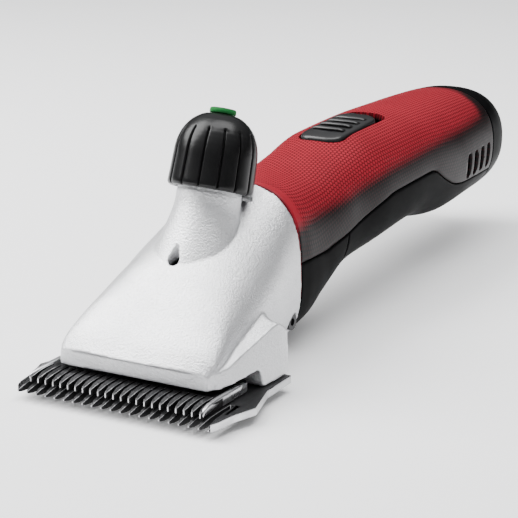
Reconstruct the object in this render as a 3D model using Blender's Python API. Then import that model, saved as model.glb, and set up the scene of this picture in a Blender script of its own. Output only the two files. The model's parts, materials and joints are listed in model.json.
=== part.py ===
"""Cordless livestock clipper (powered sheep shears), built as an assembly of separate pieces.

Frame: the origin lies on the comb's flat underside, 30 mm behind its tooth tips. +Y points back
along the handle, +Z up, +X to the right of someone who looks along +Y. Every length below is in
millimetres and is scaled to metres when a mesh is made. Angles are in degrees.
"""

import math

import bmesh
import bpy
import numpy as np
from mathutils import Matrix, Vector

MM = 0.001
GAP = 0.3  # space left between pieces that touch on the real object
ROUND = 24  # segments of a full circle on small turned pieces

# Comb (fixed lower blade)
TIP_Y = -30.0
COMB_REAR_Y = 17.3
COMB_THICK = 2.6
COMB_TEETH = 21
COMB_PITCH = 3.33
COMB_ROOT_Y = -14.0
COMB_WIDEST = (38.5, -11.3)
COMB_SHOULDER = (34.8, 2.3)
COMB_SCREW_X = 17.5
COMB_SCREW_Y = 10.0
COMB_SLOT_WIDTH = 5.4

# Cutter (moving upper blade)
CUTTER_TIP_Y = -27.0
CUTTER_ROOT_Y = -17.0
CUTTER_REAR_Y = 1.5
CUTTER_TEETH = 23
CUTTER_PITCH = 2.736
CUTTER_THICK = 2.8
CUTTER_Z = COMB_THICK + GAP

# Fork drive: vertical pivot, pins to the cutter in front, yoke round the crank roller behind
PIVOT_Y = 24.0
FORK_PIN_X = 12.0
FORK_PIN_Y = -6.0
FORK_PIN_R = 2.0
CRANK_Y = 49.0
CRANK_Z = 21.0
CRANK_THROW = 1.0
CRANK_REST = 30.0
ROLLER_R = 4.5
YOKE_CLEARANCE = 0.45
FORK_REST = -math.degrees(CRANK_THROW * math.sin(math.radians(CRANK_REST)) / (CRANK_Y - PIVOT_Y))

# Gear pair between the motor and the crank
GEAR_MODULE = 0.5
PINION_TEETH = 14
GEAR_TEETH = 34
GEAR_DISTANCE = GEAR_MODULE * (PINION_TEETH + GEAR_TEETH) / 2
MOTOR_Z = CRANK_Z + GEAR_DISTANCE
MOTOR_R = 13.0
MOTOR_Y = (70.0, 108.0)

# Tension knob on its tilted barrel: centre of the knob's lower rim, and the tilt of the axis
KNOB_RIM = (0.0, 28.0, 53.9)
KNOB_TILT = 19.84
KNOB_R = 13.6
KNOB_RIBS = 14
BARREL_R = 10.3
BARREL_TOP = 9.0
BARREL_BORE_R = 6.4

# Head casting, station by station: y, top, level of full width, bottom, half width, upper and
# lower exponent of the rounded section, lean of the section
HEAD_STATIONS = (
    (-20.5, 12.6, 7.5, 2.9, 26.0, 7.0, 8.0, 0.0),
    (-16.0, 17.4, 8.3, 2.9, 27.4, 5.2, 8.0, 0.0),
    (-10.0, 22.8, 9.8, 2.9, 27.3, 3.6, 8.0, 0.0),
    (-2.0, 30.2, 12.5, 2.9, 26.8, 2.5, 8.0, 0.0),
    (6.0, 36.8, 16.0, 2.9, 26.4, 2.0, 7.0, 0.0),
    (14.0, 41.5, 20.0, 2.9, 25.8, 1.8, 6.0, -1.0),
    (22.0, 45.0, 23.5, 2.8, 25.1, 1.8, 5.0, -2.0),
    (30.0, 47.6, 26.0, 2.4, 24.3, 1.9, 4.2, -3.0),
    (38.0, 50.4, 27.6, 1.2, 23.4, 2.2, 3.6, -3.6),
    (46.0, 54.0, 28.5, 0.5, 22.9, 2.6, 3.3, -4.0),
)
HEAD_WALL = 3.0
LIP_BOW = 2.4
# Skirt over the blades: y, half width at the bottom, half width and height of the ridge on top
SKIRT_STATIONS = (
    (-20.5, 25.0, 24.9, 12.0),
    (-17.3, 28.8, 27.5, 12.2),
    (-11.7, 30.6, 28.9, 13.0),
    (-5.0, 31.6, 29.5, 14.8),
    (3.7, 32.8, 30.3, 16.9),
    (10.0, 33.4, 30.9, 18.6),
    (15.0, 33.5, 31.3, 19.7),
    (16.6, 33.5, 32.3, 18.6),
    (18.3, 33.5, 33.1, 16.5),
)
FLARE_HEIGHT = 7.5
MOUTH_REAR_Y = 3.4
FLOOR_FRONT_Y = 4.6
SIDE_SCREW = (20.9, 43.4, 9.8)

# Handle, station by station: y, top, bottom, half width, exponent
HANDLE_STATIONS = (
    (47.4, 53.4, 0.8, 22.4, 2.9),
    (53.0, 52.2, 0.4, 22.4, 2.8),
    (60.0, 51.0, 1.0, 22.0, 2.7),
    (70.0, 50.6, 5.2, 21.5, 2.6),
    (90.0, 53.8, 12.8, 21.3, 2.5),
    (114.0, 57.8, 14.8, 23.2, 2.4),
    (144.0, 58.0, 17.2, 24.2, 2.4),
    (174.0, 57.4, 13.2, 24.5, 2.4),
    (198.0, 56.6, 14.0, 23.6, 2.4),
    (216.0, 55.4, 14.5, 22.0, 2.4),
    (226.0, 53.4, 15.6, 20.2, 2.3),
    (232.0, 50.2, 18.2, 17.4, 2.2),
)
HANDLE_LEAN = -4.0
HANDLE_WALL = 2.2
# Seam between the upper housing and what lies under it: y, z
SEAM = (
    (46.0, 28.6), (67.0, 27.6), (84.0, 29.4), (100.0, 33.2), (116.0, 36.9), (144.0, 38.0),
    (150.0, 37.6), (158.0, 32.8), (168.5, 28.2), (177.0, 26.8), (212.0, 25.4),
)
HEAD_REAR_Y = HEAD_STATIONS[-1][0]
HANDLE_FRONT_Y = HANDLE_STATIONS[0][0]
NECK_END_Y = 84.0
CAP_Y = 210.0
# Places along the handle at which its shells are drawn
SHELL_YS = (
    47.4, 50, 54, 60, 67, 75, 84, 92, 100, 108, 116, 130, 144, 150, 154, 158, 163, 168.5, 177, 190, 202, 210,
)

# Battery pack under the handle: two round cells and a release button
CELL_R = 8.2
CELL_Y = (120.0, 170.0)
CELL_Z = 30.4
RELEASE_Y = 186.0

# Slide switch in the top of the handle
SWITCH_Y = (100.5, 135.0)
SWITCH_HALF_WIDTH = 8.0
SWITCH_TRAVEL = 6.5

MATERIALS = {
    "cast_aluminium": ((0.72, 0.72, 0.73), 0.45, 0.9),
    "ground_steel": ((0.62, 0.62, 0.63), 0.25, 1.0),
    "blackened_steel": ((0.05, 0.05, 0.055), 0.4, 0.7),
    "machined_steel": ((0.55, 0.55, 0.57), 0.3, 1.0),
    "brass": ((0.78, 0.6, 0.28), 0.3, 1.0),
    "black_plastic": ((0.025, 0.025, 0.027), 0.45, 0.0),
    "red_plastic": ((0.45, 0.03, 0.05), 0.4, 0.0),
    "green_plastic": ((0.06, 0.2, 0.09), 0.45, 0.0),
    "black_rubber": ((0.02, 0.02, 0.02), 0.8, 0.0),
    "grey_plastic": ((0.25, 0.25, 0.26), 0.5, 0.0),
    "circuit_green": ((0.03, 0.2, 0.08), 0.5, 0.0),
    "cell_wrap": ((0.1, 0.2, 0.45), 0.35, 0.0),
    "filter_foam": ((0.06, 0.06, 0.06), 0.95, 0.0),
}


def clear_scene():
    for obj in list(bpy.data.objects):
        bpy.data.objects.remove(obj)


def material(name):
    """The Principled material of this name, made the first time it is asked for."""
    found = bpy.data.materials.get(name)
    if found:
        return found
    colour, roughness, metallic = MATERIALS[name]
    made = bpy.data.materials.new(name)
    made.use_nodes = True
    shader = made.node_tree.nodes["Principled BSDF"]
    shader.inputs["Base Color"].default_value = (*colour, 1.0)
    shader.inputs["Roughness"].default_value = roughness
    shader.inputs["Metallic"].default_value = metallic
    made.diffuse_color = (*colour, 1.0)
    return made


def place(name, mesh_points, faces, stuff=None, origin=(0, 0, 0), rotation=None):
    """Makes an object from points in millimetres, given in the object's own frame."""
    mesh = bpy.data.meshes.new(name)
    mesh.from_pydata([Vector(p) * MM for p in mesh_points], [], faces)
    maker = bmesh.new()
    maker.from_mesh(mesh)
    bmesh.ops.recalc_face_normals(maker, faces=maker.faces)
    bmesh.ops.triangulate(maker, faces=maker.faces)
    maker.to_mesh(mesh)
    maker.free()
    obj = bpy.data.objects.new(name, mesh)
    bpy.context.scene.collection.objects.link(obj)
    obj.location = Vector(origin) * MM
    if rotation:
        obj.rotation_euler = rotation
    if stuff:
        mesh.materials.append(material(stuff))
        mesh.shade_smooth()
        mesh.set_sharp_from_angle(angle=math.radians(35))
    return obj


def helper(obj):
    """Hides a cutter from the render and draws it as a wire."""
    obj.hide_render = True
    obj.display_type = "WIRE"
    return obj


def boolean(obj, other, operation="DIFFERENCE"):
    modifier = obj.modifiers.new(f"{operation.lower()}_{other.name}", "BOOLEAN")
    modifier.operation = operation
    modifier.solver = "EXACT"
    modifier.object = other
    helper(other)


def cut(obj, *cutters):
    for cutter in cutters:
        boolean(obj, cutter)


def join(obj, *others):
    for other in others:
        boolean(obj, other, "UNION")


def loft(name, rings, stuff=None, **where):
    """A closed solid through rings that hold the same number of points each."""
    count = len(rings[0])
    points = [p for ring in rings for p in ring]
    faces = [tuple(range(count)), tuple(range(len(points) - count, len(points)))]
    for i in range(len(rings) - 1):
        for j in range(count):
            k = (j + 1) % count
            faces.append((i * count + j, i * count + k, (i + 1) * count + k, (i + 1) * count + j))
    return place(name, points, faces, stuff, **where)


def extrusion(name, outline, low, high, stuff=None, **where):
    """An outline in x and y, extruded from one height to another."""
    return loft(name, [[(x, y, z) for x, y in outline] for z in (low, high)], stuff, **where)


def side_extrusion(name, outline, low, high, stuff=None, **where):
    """An outline in y and z, extruded along x."""
    return loft(name, [[(x, y, z) for y, z in outline] for x in (low, high)], stuff, **where)


def end_extrusion(name, outline, low, high, stuff=None, **where):
    """An outline in x and z, extruded along y."""
    return loft(name, [[(x, y, z) for x, z in outline] for y in (low, high)], stuff, **where)


def turned(name, profile, stuff=None, segments=ROUND, axis="Z", **where):
    """A closed profile of (radius, distance along the axis), turned about that axis."""
    points, rows = [], []
    for radius, along in profile:
        if radius < 1e-6:
            rows.append([len(points)] * segments)
            points.append((0.0, 0.0, along))
            continue
        rows.append(list(range(len(points), len(points) + segments)))
        for i in range(segments):
            angle = 2 * math.pi * i / segments
            points.append((radius * math.cos(angle), radius * math.sin(angle), along))
    faces = []
    for first, second in zip(rows, rows[1:] + rows[:1]):
        for i in range(segments):
            k = (i + 1) % segments
            face = []
            for index in (first[i], first[k], second[k], second[i]):
                if index not in face:
                    face.append(index)
            if len(face) > 2:
                faces.append(tuple(face))
    if axis == "Y":
        points = [(x, z, -y) for x, y, z in points]
    if axis == "X":
        points = [(z, x, y) for x, y, z in points]
    return place(name, points, faces, stuff, **where)


def rod(name, radius, low, high, stuff=None, **options):
    profile = ((0, low), (radius, low), (radius, high), (0, high))
    return turned(name, profile, stuff, **options)


def ring(name, inner, outer, low, high, stuff=None, **options):
    profile = ((inner, low), (outer, low), (outer, high), (inner, high))
    return turned(name, profile, stuff, **options)


def box(name, low, high, stuff=None):
    outline = ((low[0], low[1]), (high[0], low[1]), (high[0], high[1]), (low[0], high[1]))
    return extrusion(name, outline, low[2], high[2], stuff)


def slopes(xs, ys):
    """Slopes of a monotone cubic through the points, so that it never overshoots them."""
    steps = np.diff(xs)
    secants = np.diff(ys) / steps
    found = np.zeros(len(xs))
    found[0], found[-1] = secants[0], secants[-1]
    for i in range(1, len(xs) - 1):
        before, after = secants[i - 1], secants[i]
        if before * after > 0:
            w1 = 2 * steps[i] + steps[i - 1]
            w2 = steps[i] + 2 * steps[i - 1]
            found[i] = (w1 + w2) / (w1 / before + w2 / after)
    return found


def smooth(x, xs, ys):
    """Value at x of a smooth curve through the points (xs, ys)."""
    xs, ys = np.array(xs, float), np.array(ys, float)
    x = min(max(x, xs[0]), xs[-1])
    i = min(max(int(np.searchsorted(xs, x)) - 1, 0), len(xs) - 2)
    m = slopes(xs, ys)
    h = xs[i + 1] - xs[i]
    t = (x - xs[i]) / h
    return float(
        (2 * t**3 - 3 * t**2 + 1) * ys[i]
        + (t**3 - 2 * t**2 + t) * h * m[i]
        + (3 * t**2 - 2 * t**3) * ys[i + 1]
        + (t**3 - t**2) * h * m[i + 1]
    )


def station_at(stations, y):
    """Every value of a station table, read at y from a smooth curve."""
    ys = [station[0] for station in stations]
    return [smooth(y, ys, column) for column in list(zip(*stations))[1:]]


def rounded(angle, half_width, height, exponent):
    """A point of a superellipse at this angle from the +x side."""
    c, s = math.cos(angle), math.sin(angle)
    x = math.copysign(abs(c) ** (2 / exponent), c) * half_width
    z = math.copysign(abs(s) ** (2 / exponent), s) * height
    return x, z


def blend(value, low, high):
    return min(max((value - low) / (high - low), 0.0), 1.0)


# ---------------------------------------------------------------- head casting


def head_ring(y, inset=0.0, count=36):
    """Section of the head's dome at y, drawn in by inset all round."""
    top, level, bottom, half, upper, lower, lean = station_at(HEAD_STATIONS, y)
    points = []
    for i in range(count):
        angle = 2 * math.pi * i / count
        height = (top - level if math.sin(angle) >= 0 else level - bottom) - inset
        x, z = rounded(angle, half - inset, height, upper if math.sin(angle) >= 0 else lower)
        bow = LIP_BOW * (x / 25) ** 2 * (1 - blend(y, -20.5, -4.0))
        points.append((x, y + bow + z * math.tan(math.radians(lean)), level + z))
    return points


def skirt_ring(y, bottom_half, half, ridge):
    """Section of the skirt: drafted wall down to the floor, and a hollow flare up into the dome."""
    top, level, _, dome_half, upper, _, _ = station_at(HEAD_STATIONS, y)
    high = max(min(ridge + FLARE_HEIGHT, top - 2.0), ridge + 0.05)
    share = max(high - level, 0.0) / (top - level)
    inner = min(dome_half * (1 - share**upper) ** (1 / upper), half) - 0.8
    right = [(bottom_half, 2.9), (half, ridge)]
    for step in range(1, 6):
        angle = math.pi / 2 * step / 5
        x = half - (half - inner) * math.sin(angle)
        z = ridge + (high - ridge) * (1 - math.cos(angle))
        right.append((x, z))
    outline = right + [(-x, z) for x, z in reversed(right)]
    return [(x, y + LIP_BOW * (x / 25) ** 2 * (1 - blend(y, -20.5, -4.0)), z) for x, z in outline]


def knob_axis_rotation():
    """Rotation that turns +Z onto the tension knob's axis."""
    return (-math.radians(KNOB_TILT), 0.0, 0.0)


def on_knob_axis(name, profile, stuff=None, segments=ROUND):
    """A piece turned about the knob's axis, its profile measured from the knob's rim."""
    where = {"origin": KNOB_RIM, "rotation": knob_axis_rotation()}
    return turned(name, profile, stuff, segments, **where)


def head_cavity():
    """The hollow that holds the fork, open at the back."""
    first, last = FLOOR_FRONT_Y - 19.0, HEAD_STATIONS[-1][0]
    ys = np.linspace(first, last, 8)
    rings = [head_ring(y, HEAD_WALL + 3.0 * blend(y, 20.0, 30.0), 24) for y in ys]
    beyond = [(x, y + 6.0, z) for x, y, z in rings[-1]]
    return loft("head_cavity_cutter", rings + [beyond])


def mouth_outline():
    """Side view of the space for the blades: open in front, with a rounded upper rear corner."""
    corner = 1.6
    rear, top = MOUTH_REAR_Y, 8.4
    outline = [(-40.0, 1.0), (-40.0, 5.6), (-20.5, 6.8), (-14.0, 7.2)]
    for step in range(5):
        angle = math.pi / 2 * (1 - step / 4)
        outline.append((rear - corner + corner * math.cos(angle), top - corner + corner * math.sin(angle)))
    return outline + [(rear, 1.0)]


def oil_hole_outline():
    """A drop: round at the front, drawn out to a point at the back."""
    outline = [(0.0, 5.2)]
    for step in range(13):
        angle = math.radians(20 - 220 * step / 12)
        outline.append((1.9 * math.cos(angle), 1.9 * math.sin(angle)))
    return outline


def make_head():
    ys = (-20.5, -19.2, -17.0, -14.0, -10.0, -6.0, 0.0, 6.0, 12.0, 18.0, 24.0, 30.0, 36.0, 41.0, HEAD_REAR_Y)
    head = loft("head_casting", [head_ring(y) for y in ys], "cast_aluminium")
    skirt = loft("skirt_union", [skirt_ring(*station) for station in SKIRT_STATIONS])
    barrel = on_knob_axis(
        "barrel_union",
        ((0, -24), (15.5, -24), (13.6, -18), (12.2, -13.5), (11.0, -9), (BARREL_R, -5),
         (BARREL_R, BARREL_TOP), (0, BARREL_TOP)),
        segments=36,
    )
    join(head, skirt, barrel)
    well = box("blade_well_cutter", (-25.5, -17.0, 1.0), (25.5, FLOOR_FRONT_Y, 11.0))
    bore = on_knob_axis(
        "barrel_bore_cutter", ((0, -32), (BARREL_BORE_R, -32), (BARREL_BORE_R, 30), (0, 30)),
        segments=26,
    )
    land = BARREL_R - 0.2
    clearance = on_knob_axis(
        "knob_clearance_cutter", ((land, -1.0), (14.1, -1.0), (14.5, 0), (15.0, 12), (land, 12)),
        segments=30,
    )
    mouth = side_extrusion("mouth_cutter", mouth_outline(), -60, 60)
    oil_hole = loft(
        "oil_hole_cutter",
        [[(x, y * scale, z) for x, y in oil_hole_outline()] for z, scale in ((-9, 0.7), (9, 1.0))],
        origin=(0, 5.8, 38.2), rotation=(math.radians(20), 0, 0),
    )
    cut(head, clearance, head_cavity(), well, bore, mouth, oil_hole)
    for side in (-1, 1):
        x, y, z = SIDE_SCREW
        hole = rod(f"side_screw_cutter_{side}", 3.0, -7, 7, axis="X", origin=(side * x, y, z), segments=20)
        thread = rod(
            f"comb_screw_cutter_{side}", 2.6, 1.0, 9.0, origin=(side * COMB_SCREW_X, COMB_SCREW_Y, 0)
        )
        cut(head, hole, thread)
    cut(head, rod("pivot_post_cutter", 2.8, -2.0, 9.0, origin=(0, PIVOT_Y, 0)))
    return head


# ---------------------------------------------------------------- blades


def comb_outline():
    """Plan of the comb: teeth in front, wide shoulders, two open screw slots behind."""
    last = (COMB_TEETH - 1) / 2 * COMB_PITCH
    teeth = []
    for i in range(COMB_TEETH):
        x = -last + i * COMB_PITCH
        root, neck, tip = 0.95, 0.8, 0.3
        tooth = [
            (x - root, COMB_ROOT_Y), (x - neck, TIP_Y + 5), (x - tip, TIP_Y),
            (x + tip, TIP_Y), (x + neck, TIP_Y + 5), (x + root, COMB_ROOT_Y),
        ]
        first, final = i == 0, i == COMB_TEETH - 1
        teeth += tooth[2:] if first else tooth[:4] if final else tooth
    side = [(last + 1.3, TIP_Y + 3), (last + 2.4, TIP_Y + 10), COMB_WIDEST, COMB_SHOULDER]
    side.append((COMB_SHOULDER[0], COMB_REAR_Y))
    slots = []
    half = COMB_SLOT_WIDTH / 2
    for centre in (COMB_SCREW_X, -COMB_SCREW_X):
        slots.append((centre + half, COMB_REAR_Y))
        for step in range(7):
            angle = -math.pi * step / 6
            slots.append((centre + half * math.cos(angle), COMB_SCREW_Y - 3 + half * math.sin(angle)))
        slots.append((centre - half, COMB_REAR_Y))
    left = [(-x, y) for x, y in reversed(side)]
    return teeth + side + slots + left


def make_comb():
    extrusion("comb", comb_outline(), 0.0, COMB_THICK, "blackened_steel")
    for side, word in ((-1, "left"), (1, "right")):
        profile = ((0, -2.6), (4.3, -2.6), (5.0, -1.9), (5.0, -GAP), (2.2, -GAP), (2.2, 8.0), (0, 8.0))
        screw = turned(
            f"comb_screw_{word}", profile, "machined_steel", 18,
            origin=(side * COMB_SCREW_X, COMB_SCREW_Y, 0),
        )
        slot = box(f"comb_screw_slot_{word}", (-6, -0.6, -4), (6, 0.6, -1.5))
        slot.location = screw.location
        cut(screw, slot)


def turned_about_pivot(x, y):
    """Where a point of the fork lies once the fork has swung to its rest angle."""
    angle = math.radians(FORK_REST)
    dx, dy = x, y - PIVOT_Y
    return (
        dx * math.cos(angle) - dy * math.sin(angle),
        PIVOT_Y + dx * math.sin(angle) + dy * math.cos(angle),
    )


def swing(obj):
    """Sets a piece of the fork group, modelled about the pivot, at its rest angle."""
    obj.location = Vector((0, PIVOT_Y, 0)) * MM
    obj.rotation_euler = (0, 0, math.radians(FORK_REST))
    return obj


def cutter_outline():
    """Plan of the cutter about the fork's pivot: teeth in front and rounded rear corners."""
    last = (CUTTER_TEETH - 1) / 2 * CUTTER_PITCH
    outline = []
    for i in range(CUTTER_TEETH):
        x = -last + i * CUTTER_PITCH
        outline += [
            (x - 0.85, CUTTER_ROOT_Y), (x - 0.6, CUTTER_TIP_Y + 3), (x - 0.2, CUTTER_TIP_Y),
            (x + 0.2, CUTTER_TIP_Y), (x + 0.6, CUTTER_TIP_Y + 3), (x + 0.85, CUTTER_ROOT_Y),
        ]
    corner = 4.5
    for side in (1, -1):
        for step in range(5):
            angle = math.pi / 2 * step / 4
            angle = angle if side > 0 else math.pi / 2 + angle
            x = side * (last + 0.85 - corner) + corner * math.cos(angle)
            outline.append((x, CUTTER_REAR_Y - corner + corner * math.sin(angle)))
    return [(x, y - PIVOT_Y) for x, y in outline]


def make_cutter():
    cutter = swing(extrusion("cutter", cutter_outline(), CUTTER_Z, CUTTER_Z + CUTTER_THICK, "ground_steel"))
    for side in (-1, 1):
        x, y = turned_about_pivot(side * FORK_PIN_X, FORK_PIN_Y)
        cut(cutter, rod(f"cutter_hole_{side}", FORK_PIN_R + 0.1, 0, 12, origin=(x, y, 0)))
    middle = box("cutter_window", (-8, -6 - PIVOT_Y, 0), (8, -1 - PIVOT_Y, 12))
    cut(cutter, swing(middle))


def fork_plan():
    """Plan of the fork about its pivot: two arms to the pins and a tail towards the crank."""
    right = [
        (4.2, CRANK_Y - 10 - PIVOT_Y), (8.0, 5.0), (8.5, -4.0), (9.5, -14.0), (16.0, -26.0), (16.0, -33.0),
        (9.0, -33.0), (3.5, -17.0),
    ]
    return right + [(-x, y) for x, y in reversed(right)]


def make_fork():
    """Fork, its two pins, and the yoke whose cheeks run either side of the crank roller."""
    fork = swing(extrusion("fork", fork_plan(), 9.3, 14.3, "machined_steel"))
    rear = CRANK_Y - PIVOT_Y
    tail = swing(side_extrusion(
        "fork_tail_union",
        ((2, 9.3), (9, 9.3), (rear - 6, 15.0), (rear - 4, 15.0), (rear - 4, 27.0), (rear - 7, 27.0),
         (rear - 13, 17.5), (2, 14.3)), -5, 5))
    outer = ROLLER_R + YOKE_CLEARANCE + 2.6
    yoke = swing(box("yoke_union", (-outer, rear - 6.5, 14.5), (outer, rear + 4, 27.5)))
    inner = ROLLER_R + YOKE_CLEARANCE
    slot = swing(box("yoke_slot_cutter", (-inner, rear - 3.4, 10), (inner, rear + 8, 30)))
    socket = rod("fork_socket_cutter", 3.0, 4, 12.0, origin=(0, PIVOT_Y, 0))
    join(fork, tail, yoke)
    cut(fork, slot, socket)
    for side, word in ((-1, "left"), (1, "right")):
        x, y = turned_about_pivot(side * FORK_PIN_X, FORK_PIN_Y)
        hole = rod(f"fork_pin_cutter_{word}", FORK_PIN_R + 0.2, 6, 20, origin=(x, y, 0))
        cut(fork, hole)
        profile = (
            (0, 3.4), (1.4, 3.4), (FORK_PIN_R, 4.2), (FORK_PIN_R, 6.2), (3.4, 6.6), (3.4, 9.0),
            (FORK_PIN_R, 9.0), (FORK_PIN_R, 14.0), (0, 14.0),
        )
        turned(f"fork_pin_{word}", profile, "machined_steel", 14, origin=(x, y, 0))
    profile = ((0, 0.8), (4.6, 0.8), (4.6, 2.2), (2.5, 2.2), (2.5, 8.8), (2.0, 10.6), (0.9, 11.6), (0, 11.7))
    turned("pivot_post", profile, "machined_steel", 18, origin=(0, PIVOT_Y, 0))


# ---------------------------------------------------------------- tension knob


def make_tension():
    """Knob, green cap, spring seat, spring and the pin that presses on the fork."""
    profile = (
        (0, 24.2), (4.2, 24.1), (6.4, 23.4), (9.0, 21.6), (11.1, 19.0), (12.5, 15.8), (13.2, 12.0),
        (KNOB_R, 0.8), (KNOB_R - 0.8, 0), (BARREL_R + 0.8, 0), (BARREL_R + 0.6, 1.0),
        (BARREL_R + 0.6, 15.5), (0, 15.5),
    )
    knob = on_knob_axis("tension_knob", profile, "black_plastic", 42)
    for i in range(KNOB_RIBS):
        angle = 2 * math.pi * (i + 0.5) / KNOB_RIBS
        groove = rod(f"knob_groove_{i}", 1.1, -3, 19, segments=8)
        turn = Matrix.Rotation(angle, 4, "Z") @ Matrix.Translation(Vector((KNOB_R + 0.5, 0, 0)) * MM)
        turn = turn @ Matrix.Rotation(math.radians(-4), 4, "Y")
        groove.matrix_world = knob.matrix_basis @ turn
        cut(knob, groove)
    cut(knob, on_knob_axis("knob_hole_cutter", ((0, 10), (3.4, 10), (3.4, 30), (0, 30)), segments=28))
    cap = ((0, 26.2), (3.6, 26.2), (4.2, 25.6), (4.2, 24.3), (3.1, 24.3), (3.1, 13.2), (0, 13.2))
    on_knob_axis("tension_cap", cap, "green_plastic", 28)
    seat = ((0, 12.9), (6.0, 12.9), (6.0, 10.2), (2.6, 10.2), (2.6, 8.8), (0, 8.8))
    on_knob_axis("spring_seat", seat, "brass", 28)
    low, high = -16.2, 9.2
    turns, wire, radius = 6, 0.65, 4.6
    points = []
    for i in range(turns * 10 + 1):
        angle = 2 * math.pi * i / 10
        height = low + (high - low) * i / (turns * 10)
        points.append((radius * math.cos(angle), radius * math.sin(angle), height))
    tube("tension_spring", points, wire, "machined_steel", origin=KNOB_RIM, rotation=knob_axis_rotation())
    pin = (
        (0, -41.3), (1.0, -41.2), (2.4, -40.0), (3.0, -38.0), (3.0, -20.0), (6.0, -20.0), (6.0, -17.2),
        (2.4, -17.2), (2.4, 6.0), (0, 6.0),
    )
    on_knob_axis("tension_pin", pin, "machined_steel", 28)


def tube(name, points, radius, stuff, **where):
    """A round wire along a list of points, with flat ends."""
    points = [Vector(p) for p in points]
    rings = []
    for i, point in enumerate(points):
        forward = (points[min(i + 1, len(points) - 1)] - points[max(i - 1, 0)]).normalized()
        side = forward.cross(Vector((0, 0, 1))).normalized()
        up = side.cross(forward)
        ring_points = []
        for k in range(6):
            angle = 2 * math.pi * k / 6
            ring_points.append(point + (side * math.cos(angle) + up * math.sin(angle)) * radius)
        rings.append(ring_points)
    return loft(name, rings, stuff, **where)


# ---------------------------------------------------------------- handle


def seam_at(y):
    return float(np.interp(y, [p[0] for p in SEAM], [p[1] for p in SEAM]))


def handle_point(y, angle, inset=0.0):
    """A point on the handle's skin at this angle, or on a skin drawn in by inset."""
    top, bottom, half, exponent = station_at(HANDLE_STATIONS, y)
    level = (top + bottom) / 2
    x, z = rounded(angle, half - inset, (top - bottom) / 2 - inset, exponent)
    lean = HANDLE_LEAN * (1 - blend(y, HANDLE_FRONT_Y, 75.0))
    return x, y + z * math.tan(math.radians(lean)), level + z


def angle_at_height(y, z, inset=0.0):
    """Angle on the right side at which the handle's skin passes this height."""
    low, high = -math.pi / 2, math.pi / 2
    for _ in range(30):
        middle = (low + high) / 2
        if handle_point(y, middle, inset)[2] < z:
            low = middle
        else:
            high = middle
    return low


def shell_ring(y, start, stop, wall, count):
    """Section of a wall that follows the handle's skin between two angles."""
    angles = np.linspace(start, stop, count)
    outer = [handle_point(y, angle) for angle in angles]
    inner = [handle_point(y, angle, wall) for angle in reversed(angles)]
    return outer + inner


def upper_ring(y, count=19):
    start = angle_at_height(y, seam_at(y))
    return shell_ring(y, start, math.pi - start, HANDLE_WALL, count)


def lower_ring(y, count=15, drop=GAP):
    start = angle_at_height(y, seam_at(y) - drop)
    return shell_ring(y, start, -math.pi - start, HANDLE_WALL, count)


def switch_outline(grow=0.0, back=0.0):
    """Plan of the slide switch, a rounded rectangle, and of the recess that it runs in."""
    radius = 5.0 + grow
    front, rear = SWITCH_Y[0] - grow, SWITCH_Y[1] + grow + back
    half = SWITCH_HALF_WIDTH + grow
    outline = []
    corners = ((1, rear, 0), (-1, rear, 90), (-1, front, 180), (1, front, 270))
    for side, y, start in corners:
        inward = -1 if y == rear else 1
        for step in range(4):
            angle = math.radians(start + 30 * step)
            centre_x, centre_y = side * (half - radius), y + inward * radius
            outline.append((centre_x + radius * math.cos(angle), centre_y + radius * math.sin(angle)))
    return outline


def make_upper_housing():
    housing = loft("upper_housing", [upper_ring(y) for y in SHELL_YS], "red_plastic")
    opening = extrusion("switch_opening_cutter", switch_outline(0.7, SWITCH_TRAVEL), 40, 70)
    cut(housing, opening)
    for side, word in ((-1, "left"), (1, "right")):
        for i in range(4):
            y = 182.0 + 7.2 * i
            slot = box(f"vent_cutter_{word}_{i}", (-6, y - 2.2, 27.8), (6, y + 2.2, 37.2))
            slot.location = Vector((side * 23, 0, 0)) * MM
            cut(housing, slot)


def make_switch():
    """Slide with finger ridges, its stem and the switch that it works."""
    front, rear = SWITCH_Y
    y = (front + rear) / 2
    outline = switch_outline()
    slide = loft(
        "speed_switch",
        [[(x, py, handle_top(py, x) - 2.0) for x, py in outline],
         [(x * 0.96, y + (py - y) * 0.98, handle_top(py, x) + 1.0) for x, py in outline]],
        "black_plastic",
    )
    for i in range(4):
        ridge_y = front + 8.5 + 5.8 * i
        z = handle_top(ridge_y, 0)
        ridge = box(f"switch_ridge_{i}", (-5.8, ridge_y - 0.8, z - 2), (5.8, ridge_y + 0.8, z + 1.5))
        join(slide, ridge)
    z = handle_top(y, 0)
    join(slide, box("switch_stem", (-2.5, y - 4, z - 9.0), (2.5, y + 4, z)))
    cover = switch_outline(2.2, SWITCH_TRAVEL)
    plate = loft(
        "switch_plate",
        [[(x, py, handle_top(py, x) - HANDLE_WALL - drop) for x, py in cover] for drop in (2.2, 1.0)],
        "black_plastic",
    )
    cut(plate, box("switch_plate_slot", (-3.2, y - 5, 40), (3.2, y + 5 + SWITCH_TRAVEL, 70)))


def handle_top(y, x):
    """Height of the handle's upper skin at this place."""
    top, bottom, half, exponent = station_at(HANDLE_STATIONS, y)
    level = (top + bottom) / 2
    share = max(1 - (abs(x) / half) ** exponent, 0.0)
    return level + (top - level) * share ** (1 / exponent)


def make_lower_housing():
    """Neck under the upper housing, between the head and the battery."""
    ys = [y for y in SHELL_YS if y <= NECK_END_Y]
    loft("lower_housing", [lower_ring(y) for y in ys], "black_plastic")


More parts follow.
